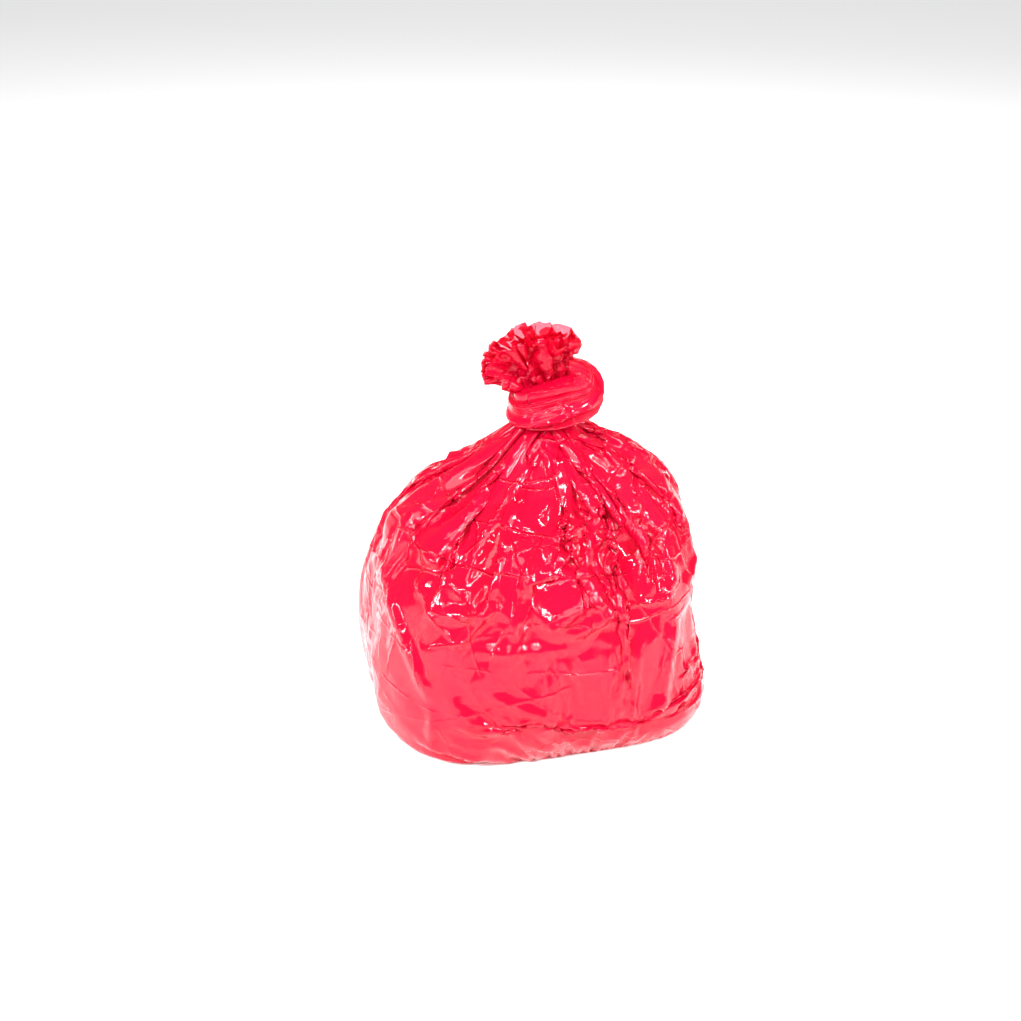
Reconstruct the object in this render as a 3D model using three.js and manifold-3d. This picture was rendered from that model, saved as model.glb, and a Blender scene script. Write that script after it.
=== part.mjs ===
// A filled plastic refuse sack, standing on its base and closed by an overhand knot in its own neck.
// The sack is one tube of thin film: it is sealed at the bottom, gathered at the neck, knotted, and
// its open mouth ruffles out above the knot. A closed carton of rubbish stands inside on the film.
// Millimetres, +Z up. The origin is on the floor, on the plumb line through the middle of the base.
// X runs from the sack's left to its right and Y from its front to its back.
import * as THREE from "three";
import { mergeVertices } from "three/addons/utils/BufferGeometryUtils.js";
import Module from "manifold-3d";

// Filled body
const BELLY_WIDTH = 450; // across the widest part, left to right
const BELLY_DEPTH = 404; // across the widest part, front to back
const NECK_HEIGHT = 392; // floor to the start of the gathered neck
const BODY_TURN = 13; // degrees that the squarish body is turned, seen from above
const FILM_WALL = 1.5; // the film's wall here, which stands for a film of about 0.04 mm
const PLEAT_DEPTH = 27; // how far the valley between two pleats is pressed in, at its deepest
const NECK_HUG = 0.27; // most of the radius that a valley may take, near the neck
const PLEATS_FROM = 0.52; // share of the neck's height where the shoulder pleats start
const PLEATS_FULL = 0.8; // and where they are at their deepest
const PLEATED_GIRTH = 120; // height of the girth that the pleats share out between them

// The pleats that run down from the neck, from the sack's right round by its back: how wide each is
// beside the others, and how deep as a share of PLEAT_DEPTH.
const PLEATS = [
  { width: 1.3, depth: 0.9 },
  { width: 0.8, depth: 0.7 },
  { width: 1.1, depth: 1.0 },
  { width: 0.7, depth: 0.8 },
  { width: 1.4, depth: 0.95 },
  { width: 0.9, depth: 0.7 },
  { width: 0.8, depth: 0.85 },
  { width: 1.2, depth: 1.0 },
  { width: 1.0, depth: 0.75 },
  { width: 0.7, depth: 0.9 },
  { width: 1.3, depth: 0.8 },
  { width: 0.9, depth: 1.0 },
  { width: 1.2, depth: 0.85 },
  { width: 1.1, depth: 0.95 },
  { width: 0.8, depth: 1.0 },
  { width: 0.7, depth: 0.9 },
  { width: 0.9, depth: 1.0 },
  { width: 0.7, depth: 0.85 },
  { width: 1.2, depth: 0.9 },
  { width: 1.4, depth: 0.75 },
  { width: 0.8, depth: 0.95 },
  { width: 1.0, depth: 0.8 },
];

// The body's outline at rising heights: half-widths to each side as shares of half the belly's width
// or depth, and how square the section is (2 is an ellipse).
const OUTLINE = [
  { up: 0.0, left: 0.82, right: 0.87, front: 0.84, back: 0.84, square: 3.2 },
  { up: 0.03, left: 0.9, right: 0.94, front: 0.9, back: 0.9, square: 3.2 },
  { up: 0.08, left: 0.95, right: 0.955, front: 0.95, back: 0.94, square: 3.2 },
  { up: 0.16, left: 0.965, right: 0.92, front: 0.99, back: 0.97, square: 3.1 },
  { up: 0.27, left: 0.965, right: 0.875, front: 0.98, back: 0.95, square: 3.0 },
  { up: 0.4, left: 0.93, right: 0.865, front: 0.95, back: 0.92, square: 3.0 },
  { up: 0.53, left: 0.88, right: 0.865, front: 0.91, back: 0.89, square: 2.9 },
  { up: 0.64, left: 0.82, right: 0.855, front: 0.82, back: 0.8, square: 2.5 },
  { up: 0.72, left: 0.76, right: 0.84, front: 0.73, back: 0.72, square: 2.3 },
  { up: 0.79, left: 0.6, right: 0.79, front: 0.61, back: 0.61, square: 2.1 },
  { up: 0.86, left: 0.42, right: 0.67, front: 0.46, back: 0.46, square: 2.0 },
  { up: 0.93, left: 0.27, right: 0.5, front: 0.3, back: 0.3, square: 2.0 },
  { up: 0.97, left: 0.14, right: 0.33, front: 0.19, back: 0.19, square: 2.0 },
];

// Gathered neck, knot and mouth
const NECK_LEAN = 22; // the neck stands this far to the right of the base's middle
const ROPE_RADIUS = 22; // the gathered film, as a rope
const ROPE_PLEATS = 9;
const ROPE_PLEAT_DEPTH = 2.4;
const KNOT_REACH = 38; // from the neck's line to the outside turn's centreline
const KNOT_DEPTH = 24; // from the neck's line to the front and back turns' centrelines
const KNOT_RISE = 50; // from the neck to the top turn's centreline
const KNOT_CORE = 27; // radius of the packed film in the middle of the knot
const CHANNEL_RADIUS = 3; // the way that the gathered film leaves open along its middle
const TOP_RUFFLE = { length: 74, width: 84, thickness: 52, lean: 6, pleats: 6 };
const SIDE_RUFFLE = { length: 98, width: 60, thickness: 44, lean: -66, pleats: 5 };
const RUFFLE_PLEAT_DEPTH = 0.11; // share of the radius at the ruffle's free end
const RUFFLE_ROOT = 0.5; // the ruffle's root, as a share of its width

// Carton inside the sack
const CARTON_FILL = 0.51; // share of the neck's height that the carton reaches
const CARTON_PROPORTION = 0.94; // the carton's depth over its width
const CARTON_CLEARANCE = 3; // from the film to the carton's nearest corner
const SEAT_GAP = 0.3; // between pieces that touch

// Fineness of the faceted surfaces
const PLEAT_SIDES = 4;
const BODY_SIDES = PLEAT_SIDES * PLEATS.length;
const GIRTH_STEPS = 720;
const ROPE_SIDES = 2 * ROPE_PLEATS;
const ROPE_STRETCHES = 4;
const STRETCH_STEPS = 13;
const STRETCH_LAP = 0.012; // share of the rope by which each stretch laps the next
const CHANNEL_SIDES = 8;
const RUFFLE_STEPS = 9;

const wasm = await Module();
wasm.setup();

// A closed three.js geometry as a solid, with its shared corners merged.
function solid(geometry) {
  const bare = new THREE.BufferGeometry();
  const facets = geometry.index ? geometry.toNonIndexed() : geometry;
  bare.setAttribute("position", facets.getAttribute("position"));
  const merged = mergeVertices(bare, 1e-4);
  const triangles = [];
  const index = merged.index.array;
  for (let i = 0; i < index.length; i += 3) {
    const [a, b, c] = index.slice(i, i + 3);
    if (a !== b && b !== c && c !== a) triangles.push(a, b, c);
  }
  return new wasm.Manifold(
    new wasm.Mesh({
      numProp: 3,
      vertProperties: merged.attributes.position.array,
      triVerts: new Uint32Array(triangles),
    }),
  );
}

// A solid as a three.js geometry again.
function geometryOf(body) {
  const mesh = body.getMesh();
  const corners = new Float32Array(mesh.numVert * 3);
  for (let i = 0; i < mesh.numVert; i++) {
    const start = i * mesh.numProp;
    corners.set(mesh.vertProperties.subarray(start, start + 3), i * 3);
  }
  const geometry = new THREE.BufferGeometry();
  geometry.setAttribute("position", new THREE.BufferAttribute(corners, 3));
  geometry.setIndex(new THREE.BufferAttribute(mesh.triVerts, 1));
  geometry.computeVertexNormals();
  return geometry;
}

// Moves every corner of a geometry to where move(point) says.
function reshape(geometry, move) {
  const corners = geometry.getAttribute("position");
  const point = new THREE.Vector3();
  for (let i = 0; i < corners.count; i++) {
    point.fromBufferAttribute(corners, i);
    move(point);
    corners.setXYZ(i, point.x, point.y, point.z);
  }
  return geometry;
}

// The body's outline, read between its stations. The last station is the round neck.
function outlineAt(height) {
  const up = height / NECK_HEIGHT;
  const neck = { up: 1, square: 2 };
  neck.left = (ROPE_RADIUS - NECK_LEAN) / (BELLY_WIDTH / 2);
  neck.right = (ROPE_RADIUS + NECK_LEAN) / (BELLY_WIDTH / 2);
  neck.front = neck.back = ROPE_RADIUS / (BELLY_DEPTH / 2);
  const stations = [...OUTLINE, neck];
  let above = stations.findIndex((station) => station.up > up);
  if (above < 1) above = above < 0 ? stations.length - 1 : 1;
  const low = stations[above - 1];
  const high = stations[above];
  const share = THREE.MathUtils.clamp((up - low.up) / (high.up - low.up), 0, 1);
  const mix = (key) => THREE.MathUtils.lerp(low[key], high[key], share);
  const middle = ((mix("right") - mix("left")) * BELLY_WIDTH) / 4;
  return {
    middle,
    halfWidth: ((mix("right") + mix("left")) * BELLY_WIDTH) / 4,
    front: (mix("front") * BELLY_DEPTH) / 2,
    back: (mix("back") * BELLY_DEPTH) / 2,
    square: mix("square"),
  };
}

// How far the filled sack reaches from the section's middle, in one direction at one height.
function reach(angle, height) {
  const { halfWidth, front, back, square } = outlineAt(height);
  const across = Math.abs(Math.cos(angle)) / halfWidth;
  const along = Math.abs(Math.sin(angle)) / (Math.sin(angle) > 0 ? back : front);
  return (across ** square + along ** square) ** (-1 / square);
}

// How far a valley between pleats is pressed in from there.
function pressedIn(plain, height) {
  const gather = THREE.MathUtils.smoothstep(height / NECK_HEIGHT, PLEATS_FROM, PLEATS_FULL);
  return Math.min(PLEAT_DEPTH * gather, NECK_HUG * plain);
}

// The body's columns of film: the direction of each from the section's middle, and how far it lies
// in a valley between two pleats, from 0 on a pleat's crown.
function bodyColumns() {
  const turn = (step) => (2 * Math.PI * step) / GIRTH_STEPS;
  const outline = (step) => {
    const radius = reach(turn(step), PLEATED_GIRTH);
    return new THREE.Vector2(radius * Math.cos(turn(step)), radius * Math.sin(turn(step)));
  };
  const arc = [0];
  for (let step = 1; step <= GIRTH_STEPS; step++) {
    arc.push(arc[step - 1] + outline(step).distanceTo(outline(step - 1)));
  }
  const widths = PLEATS.reduce((sum, pleat) => sum + pleat.width, 0);
  const columns = [];
  let start = 0;
  for (const { width, depth } of PLEATS) {
    for (let i = 0; i < PLEAT_SIDES; i++) {
      const through = i / PLEAT_SIDES;
      const along = ((start + through * width) / widths) * arc[GIRTH_STEPS];
      const step = arc.findIndex((length) => length > along);
      const share = (along - arc[step - 1]) / (arc[step] - arc[step - 1]);
      columns.push({ angle: turn(step - 1 + share), valley: depth * Math.abs(1 - 2 * through) });
    }
    start += width;
  }
  return columns;
}

// The space inside the body's outline, taken in by inset on every side.
function bodySpace(inset) {
  const top = NECK_HEIGHT - 4 * inset;
  const heights = OUTLINE.map((station) => station.up * NECK_HEIGHT).filter((h) => h > inset && h < top);
  const rings = [inset, ...heights, top];
  const profile = [new THREE.Vector2(0, inset), new THREE.Vector2(0.5, inset)];
  rings.forEach((height) => profile.push(new THREE.Vector2(1, height)));
  profile.push(new THREE.Vector2(0, top));
  const lathe = new THREE.LatheGeometry(profile, BODY_SIDES).rotateX(Math.PI / 2);
  const columns = bodyColumns();
  const filmAt = ({ angle, valley }, height) => {
    const plain = reach(angle, height);
    return plain - valley * pressedIn(plain, height);
  };
  return solid(
    reshape(lathe, (point) => {
      const share = Math.hypot(point.x, point.y);
      const turned = (Math.atan2(point.y, point.x) / (2 * Math.PI) + 1) * BODY_SIDES;
      const column = columns[Math.round(turned) % BODY_SIDES];
      const radius = Math.min(filmAt(column, point.z), filmAt(column, point.z + inset)) - inset;
      const { middle } = outlineAt(point.z);
      point.x = middle + share * radius * Math.cos(column.angle);
      point.y = share * radius * Math.sin(column.angle);
    }).rotateZ(THREE.MathUtils.degToRad(BODY_TURN)),
  );
}

// The middle of the gathered neck, where the body ends and the rope of film begins.
function neckPoint() {
  return new THREE.Vector3(NECK_LEAN, 0, NECK_HEIGHT).applyAxisAngle(
    new THREE.Vector3(0, 0, 1),
    THREE.MathUtils.degToRad(BODY_TURN),
  );
}

// The gathered film's centreline: up out of the body, round itself once, and out at the top.
function knotLine() {
  const neck = neckPoint();
  const at = (across, along, up) =>
    new THREE.Vector3(across * KNOT_REACH, along * KNOT_DEPTH, up * KNOT_RISE).add(neck);
  return new THREE.CatmullRomCurve3([
    at(0, 0, -0.5),
    at(-0.15, 0.2, 0.2),
    at(-0.6, 0.5, 0.6),
    at(-0.1, 0.5, 1.0),
    at(0.85, 0.1, 0.95),
    at(1.05, -0.6, 0.65),
    at(0.2, -1.2, 0.5),
    at(-0.75, -0.9, 0.25),
    at(-0.8, 0.4, 0.25),
    at(0.0, 1.1, 0.45),
    at(0.2, 0.4, 0.8),
    at(-0.1, -0.1, 1.0),
  ]);
}

// A tube of one pleated section along part of a line, from one share of its length to another.
function stretch(line, from, to, { radius, sides, pleats, pleatDepth, steps }) {
  const points = [];
  for (let i = 0; i <= steps; i++) {
    points.push(line.getPointAt(THREE.MathUtils.lerp(from, to, i / steps)));
  }
  const section = [];
  for (let i = 0; i < sides; i++) {
    const angle = (2 * Math.PI * i) / sides;
    const reached = radius - pleatDepth * (0.5 - 0.5 * Math.cos(pleats * angle));
    section.push(new THREE.Vector2(reached * Math.cos(angle), reached * Math.sin(angle)));
  }
  const extrudePath = new THREE.CatmullRomCurve3(points);
  return solid(new THREE.ExtrudeGeometry(new THREE.Shape(section), { steps, extrudePath }));
}

// The packed film that the knot's turns are pulled tight onto.
function knotCore() {
  const core = new THREE.SphereGeometry(KNOT_CORE, ROPE_SIDES, ROPE_PLEATS);
  const { x, y, z } = neckPoint();
  return solid(core.translate(x, y, z + KNOT_RISE / 2));
}

// The knotted rope of film, joined from stretches that each stay clear of themselves.
function knotRope() {
  const line = knotLine();
  const section = {
    radius: ROPE_RADIUS,
    sides: ROPE_SIDES,
    pleats: ROPE_PLEATS,
    pleatDepth: ROPE_PLEAT_DEPTH,
    steps: STRETCH_STEPS,
  };
  let rope = knotCore();
  for (let i = 0; i < ROPE_STRETCHES; i++) {
    const from = Math.max(0, i / ROPE_STRETCHES - STRETCH_LAP);
    const to = Math.min(1, (i + 1) / ROPE_STRETCHES + STRETCH_LAP);
    const next = stretch(line, from, to, section);
    rope = rope.add(next);
  }
  return rope;
}

// Stands a geometry that runs along Y on a point, leaning to the right by lean degrees.
function leaned(geometry, lean, rise, foot) {
  geometry.translate(0, rise, 0).rotateX(Math.PI / 2).rotateY(THREE.MathUtils.degToRad(lean));
  return solid(geometry.translate(foot.x, foot.y, foot.z));
}

// The open way along the middle of the rope, from inside the body to beyond the mouth.
function ropeChannel() {
  const line = knotLine();
  const section = {
    radius: CHANNEL_RADIUS,
    sides: CHANNEL_SIDES,
    pleats: 0,
    pleatDepth: 0,
    steps: ROPE_STRETCHES * STRETCH_STEPS,
  };
  const { length, lean } = TOP_RUFFLE;
  const out = new THREE.CylinderGeometry(CHANNEL_RADIUS, CHANNEL_RADIUS, 2 * length, CHANNEL_SIDES);
  const rise = length - 2 * CHANNEL_RADIUS;
  return stretch(line, 0, 1, section).add(leaned(out, lean, rise, line.getPointAt(1)));
}

// One lobe of the ruffled mouth: narrow where it leaves the knot, full and pleated at its free end.
function ruffle({ length, width, thickness, lean, pleats }) {
  const profile = [];
  for (let i = 0; i <= RUFFLE_STEPS; i++) {
    const up = i / RUFFLE_STEPS;
    const swell = THREE.MathUtils.lerp(RUFFLE_ROOT, 1, THREE.MathUtils.smoothstep(up, 0, 0.8));
    profile.push(new THREE.Vector2(swell * Math.sqrt(Math.sin(Math.PI * up)), up * length));
  }
  profile[RUFFLE_STEPS].x = 0;
  const lathe = reshape(new THREE.LatheGeometry(profile, 4 * pleats), (point) => {
    const angle = Math.atan2(point.z, point.x);
    const fold = RUFFLE_PLEAT_DEPTH * (point.y / length) * Math.cos(pleats * angle);
    point.x *= (width / 2) * (1 + fold);
    point.z *= (thickness / 2) * (1 + fold);
  });
  return leaned(lathe, lean, -ROPE_RADIUS / 2, knotLine().getPointAt(1));
}

// A solid without the pockets that its own folds shut in.
function filled(body) {
  const shells = body.decompose();
  return shells.filter((shell) => shell.volume() > 0).reduce((joined, shell) => joined.add(shell));
}

// The whole film: body, knot and mouth in one piece, hollow from the body out to the mouth.
function filmSolid() {
  const outside = bodySpace(0).add(knotRope()).add(ruffle(TOP_RUFFLE)).add(ruffle(SIDE_RUFFLE));
  return filled(outside).subtract(bodySpace(FILM_WALL)).subtract(ropeChannel());
}

function film() {
  const material = new THREE.MeshStandardMaterial({
    color: 0xe8152b,
    roughness: 0.16,
    metalness: 0,
    transparent: true,
    opacity: 0.82,
  });
  const mesh = new THREE.Mesh(geometryOf(filmSolid()), material);
  mesh.name = "film_sack";
  return mesh;
}

// Half of the carton's width, so that its corners stand clear of the film all the way up.
function cartonHalfWidth() {
  const corner = Math.atan(CARTON_PROPORTION);
  const heights = OUTLINE.map((station) => Math.min(station.up, CARTON_FILL) * NECK_HEIGHT);
  const rooms = [];
  for (const height of heights) {
    const { middle } = outlineAt(height);
    rooms.push(reach(corner, height) * Math.cos(corner) + middle);
    rooms.push(reach(corner - Math.PI, height) * Math.cos(corner) - middle);
    rooms.push(reach(-corner, height) * Math.cos(corner) + middle);
    rooms.push(reach(Math.PI - corner, height) * Math.cos(corner) - middle);
  }
  return Math.min(...rooms) - FILM_WALL - CARTON_CLEARANCE;
}

function carton() {
  const material = new THREE.MeshStandardMaterial({ color: 0xb98a52, roughness: 0.85, metalness: 0 });
  const width = 2 * cartonHalfWidth();
  const height = CARTON_FILL * NECK_HEIGHT;
  const box = new THREE.BoxGeometry(width, CARTON_PROPORTION * width, height);
  const mesh = new THREE.Mesh(box, material);
  mesh.name = "carton";
  mesh.position.z = FILM_WALL + SEAT_GAP + height / 2;
  mesh.rotation.z = THREE.MathUtils.degToRad(BODY_TURN);
  return mesh;
}

const sack = new THREE.Group();
sack.add(film(), carton());

export default sack;
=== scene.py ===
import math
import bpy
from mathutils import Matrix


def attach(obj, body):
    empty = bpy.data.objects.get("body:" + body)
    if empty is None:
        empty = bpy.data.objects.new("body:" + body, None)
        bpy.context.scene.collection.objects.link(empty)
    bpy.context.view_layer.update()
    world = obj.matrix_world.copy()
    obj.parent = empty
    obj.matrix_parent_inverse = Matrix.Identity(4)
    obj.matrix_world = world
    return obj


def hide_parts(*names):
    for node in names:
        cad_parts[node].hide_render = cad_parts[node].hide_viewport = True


bl_info = {
    "name": "Knotted Refuse Sack",
    "version": (1, 0, 0),
    "blender": (4, 5, 0),
    "location": "View3D > Sidebar > Sack",
    "description": "Drapes, knots and finishes a filled sack of thin plastic film round its carton",
    "category": "Object",
}

import bpy
import numpy as np
from mathutils import Vector
from mathutils.geometry import delaunay_2d_cdt

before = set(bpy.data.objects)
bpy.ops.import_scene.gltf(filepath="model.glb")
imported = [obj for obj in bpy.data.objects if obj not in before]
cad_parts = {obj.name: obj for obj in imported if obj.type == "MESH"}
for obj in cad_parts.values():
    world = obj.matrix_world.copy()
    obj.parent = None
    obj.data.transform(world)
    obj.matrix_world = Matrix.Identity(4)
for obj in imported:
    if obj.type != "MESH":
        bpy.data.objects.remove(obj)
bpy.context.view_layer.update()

# The filled body's guide outline at rising heights: a share of the neck's height, half-widths to the
# left, right, front and back as shares of half the belly, and how square the section is.
GUIDE = (
    (0.00, 0.82, 0.87, 0.84, 0.84, 3.2),
    (0.03, 0.90, 0.94, 0.90, 0.90, 3.2),
    (0.08, 0.95, 0.955, 0.95, 0.94, 3.2),
    (0.16, 0.965, 0.92, 0.99, 0.97, 3.1),
    (0.27, 0.965, 0.875, 0.98, 0.95, 3.0),
    (0.40, 0.93, 0.865, 0.95, 0.92, 3.0),
    (0.53, 0.88, 0.865, 0.91, 0.89, 2.9),
    (0.64, 0.82, 0.855, 0.82, 0.80, 2.5),
    (0.72, 0.76, 0.84, 0.73, 0.72, 2.3),
    (0.79, 0.57, 0.76, 0.59, 0.59, 2.1),
    (0.86, 0.33, 0.57, 0.40, 0.40, 2.0),
    (0.93, 0.17, 0.33, 0.23, 0.23, 2.0),
    (0.97, 0.08, 0.20, 0.13, 0.13, 2.0),
)
BELLY_WIDTH = 0.450
BELLY_DEPTH = 0.404
NECK_HEIGHT = 0.392
NECK_LEAN = 0.022
ROPE_RADIUS = 0.019
BODY_TURN = math.radians(13)
MIDDLE = np.array([0.0, 0.0, 0.2])  # the point in the body that its film is guided about

# Straight creases of the front: both ends across and up as seen from the front, how far each stands
# out, and half its width
CREASES = (
    (-0.124, 0.208, -0.029, 0.220, 0.008, 0.012),
    (-0.004, 0.228, 0.034, 0.177, 0.007, 0.011),
    (0.034, 0.177, 0.104, 0.212, 0.008, 0.012),
    (0.020, 0.196, 0.090, 0.236, 0.006, 0.010),
    (-0.080, 0.172, 0.060, 0.166, 0.004, 0.010),
    (0.021, 0.291, 0.066, 0.288, 0.006, 0.009),
    (0.066, 0.288, 0.062, 0.262, 0.006, 0.009),
    (0.022, 0.262, 0.062, 0.262, -0.006, 0.009),
    (-0.137, 0.270, -0.080, 0.228, 0.008, 0.012),
    (-0.150, 0.240, -0.085, 0.262, -0.006, 0.011),
    (0.154, 0.262, 0.172, 0.205, 0.007, 0.012),
    (0.172, 0.180, 0.154, 0.050, 0.006, 0.012),
    (0.128, 0.165, 0.118, 0.045, 0.004, 0.008),
    (0.089, 0.158, 0.088, 0.045, 0.0025, 0.006),
    (-0.143, 0.034, -0.050, 0.024, 0.006, 0.012),
    (-0.190, 0.230, -0.120, 0.095, 0.005, 0.012),
    (-0.120, 0.095, -0.125, 0.030, 0.005, 0.010),
    (-0.060, 0.120, 0.030, 0.075, 0.004, 0.010),
)

# The pleats that run down from the neck, from the sack's right round by its back: how wide each is
# beside the others, and how deep as a share of the deepest valley's depth.
PLEATS = (
    (1.3, 0.9), (0.8, 0.7), (1.1, 1.0), (0.7, 0.8), (1.4, 0.95), (0.9, 0.7), (0.8, 0.85), (1.2, 1.0),
    (1.0, 0.75), (0.7, 0.9), (1.3, 0.8), (0.9, 1.0), (1.2, 0.85), (1.1, 0.95), (0.8, 1.0), (0.7, 0.9),
    (0.9, 1.0), (0.7, 0.85), (1.2, 0.9), (1.4, 0.75), (0.8, 0.95), (1.0, 0.8),
)
PLEAT_DEPTH = 0.027
NECK_HUG = 0.27  # most of the radius that a valley may take, near the neck
PLEATS_FROM = 0.52  # share of the neck's height where the pleats start
PLEATS_FULL = 0.80
PLEATED_GIRTH = 0.120  # height of the girth that the pleats share out between them

# The gathered film's route from the neck through the knot, across, along and up, in shares of the
# knot's reach, depth and rise
KNOT_ROUTE = (
    (0.0, 0.0, 0.0),
    (-0.15, 0.2, 0.2),
    (-0.6, 0.5, 0.6),
    (-0.1, 0.5, 1.0),
    (0.85, 0.1, 0.95),
    (1.05, -0.6, 0.65),
    (0.2, -1.2, 0.5),
    (-0.75, -0.9, 0.25),
    (-0.8, 0.4, 0.25),
    (0.0, 1.1, 0.45),
    (0.2, 0.4, 0.8),
    (-0.1, -0.1, 1.0),
)
KNOT_REACH = 0.036
KNOT_DEPTH = 0.024
KNOT_RISE = 0.050
ROPE_GIRTH = 0.15  # round the gathered film where it is loosest
ROPE_LENGTH = 0.36
ROPE_TWIST = 1.3  # radians that the pleats turn from the neck to the mouth
ROPE_SWELL = 0.2  # how much wider the gathered film is inside the knot
ROPE_FLATNESS = 0.22
BROAD_FOLD = 0.42  # how far the knot's broad folds stand out, as a share of its radius
FINE_FOLD = 0.12
PLEAT_FOLD = 0.68  # how deep the gathered film's pleats are, as a share of its radius

# The open mouth
MOUTH_LENGTH = 0.095
LOBE_LENGTH = 0.050
EAR_LENGTH = 0.022  # how much longer the left ear is than the rest
EAR_SWING = -80  # degrees from upright, towards the left
EAR_SPREAD = 26
MOUTH_HALF_DEPTH = 0.022
MOUTH_FOLD_DEPTH = 0.008

FLOOR_GAP = 0.0006  # the film's lowest point over the floor

# The film's grid: columns round the sack, and rows over the base, body, knot and mouth
COLUMNS = 384
BASE_ROWS = 20
BODY_ROWS = 144
ROPE_ROWS = 58
MOUTH_ROWS = 30
BODY_LENGTH = 0.500  # of film, from the base's rim to the neck
FRONT_SHARE = 0.72  # how far round the sack the columns reach its front

# The film's straight crinkles: the direction of each set in radians, how close together, and its seed
CRINKLE_LINES = (
    (0.35, 2.6, 1.0),
    (1.25, 3.3, 5.0),
    (2.1, 2.2, 9.0),
    (2.75, 3.8, 14.0),
    (1.6, 5.0, 20.0),
)
FILM_GLOW = (0.9, 0.0, 0.004, 1.0)  # a painted glow, which stands for the light that scatters inside the film and lightens its shaded folds
FILM_GLOW_STRENGTH = 0.095
MOUTH_FROM = 0.425  # height where the film starts to turn as see-through as the mouth
MOUTH_FULL = 0.455

# The soft lights: where each stands, its width and height in metres, and its power in watts
SOFT_LIGHTS = (
    ("left_softbox", (-1.5, -1.5, 1.7), 0.36, 0.55, 115),
    ("right_softbox", (1.5, -1.0, 1.2), 0.16, 1.0, 75),
    ("top_strip", (0.3, -1.0, 2.3), 1.0, 0.1, 40),
    ("low_left_strip", (-1.9, -1.0, 0.7), 0.1, 0.9, 24),
    ("high_right_strip", (1.0, -1.6, 2.0), 0.7, 0.1, 26),
    ("front_strip", (-0.5, -2.2, 1.5), 0.1, 0.7, 20),
    ("back_softbox", (0.2, 1.4, 1.9), 1.2, 0.8, 60),
)
LIT_MIDDLE = (0, 0, 0.22)
DAYLIGHT_FROM = (-0.35, -0.8, 1.0)
DAYLIGHT_POWER = 2.4
DAYLIGHT_SPREAD = math.radians(34)
ROOM_LIGHT = 0.25  # what the white room gives as light, beside what the camera sees of it
FLOOR_SIZE = 12
CAMERA_TARGET = (-0.028, 0.0, 0.256)

# Crumples of the body's film, coarse to fine: the facets' width in metres, how many times longer they
# are than wide, how deep they stand, and how many steps the film settles after them
CRUMPLES = (
    (0.090, 1.4, 0.018, 10),
    (0.058, 1.2, 0.0095, 0),
    (0.028, 1.2, 0.0036, 0),
)


def section_reach(angle, height):
    """How far the guide stands from its section's own middle, and where that middle is."""
    table = np.array(GUIDE)
    up = np.clip(height / NECK_HEIGHT, 0, 1)
    half_width, half_depth = BELLY_WIDTH / 2, BELLY_DEPTH / 2
    neck = (
        1.0,
        (ROPE_RADIUS - NECK_LEAN) / half_width,
        (ROPE_RADIUS + NECK_LEAN) / half_width,
        ROPE_RADIUS / half_depth,
        ROPE_RADIUS / half_depth,
        2.0,
    )
    table = np.vstack([table, neck])
    left, right, front, back, square = (np.interp(up, table[:, 0], table[:, k]) for k in range(1, 6))
    middle = (right - left) * half_width / 2
    across = np.abs(np.cos(angle)) / ((right + left) * half_width / 2)
    along = np.abs(np.sin(angle)) / (np.where(np.sin(angle) > 0, back, front) * half_depth)
    return (across**square + along**square) ** (-1 / square), middle


def turn_with_body(x, y):
    """Points of the squarish body, turned as it stands."""
    cos, sin = math.cos(BODY_TURN), math.sin(BODY_TURN)
    return x * cos - y * sin, x * sin + y * cos


def neck_place():
    x, y = turn_with_body(NECK_LEAN, 0.0)
    return np.array([x, y, NECK_HEIGHT])


def resampled(grid, rows, columns):
    """A grid of film at another pitch, on smooth curves through its points."""

    def along(a, count, axis, wraps):
        size = a.shape[axis]
        place = np.arange(count) * (size / count) if wraps else np.linspace(0, size - 1, count)
        first = np.floor(place).astype(int)
        share = place - first

        def take(step):
            index = (first + step) % size if wraps else np.clip(first + step, 0, size - 1)
            return np.take(a, index, axis=axis)

        shape = [1] * a.ndim
        shape[axis] = count
        t = share.reshape(shape).astype(a.dtype)
        before, here, after, beyond = take(-1), take(0), take(1), take(2)
        return 0.5 * (
            2 * here
            + (after - before) * t
            + (2 * before - 5 * here + 4 * after - beyond) * t**2
            + (3 * here - before - 3 * after + beyond) * t**3
        )

    return along(along(grid, rows, 1, False), columns, 2, True)


def ripples(rows, columns, cells, rng):
    """Smooth random ripples, about -1 to 1, with so many cells up and round the sack."""
    grid = rng.standard_normal((1, *cells)).astype(np.float32)
    out = resampled(grid, rows, columns)[0]
    return out / np.abs(out).max()


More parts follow.
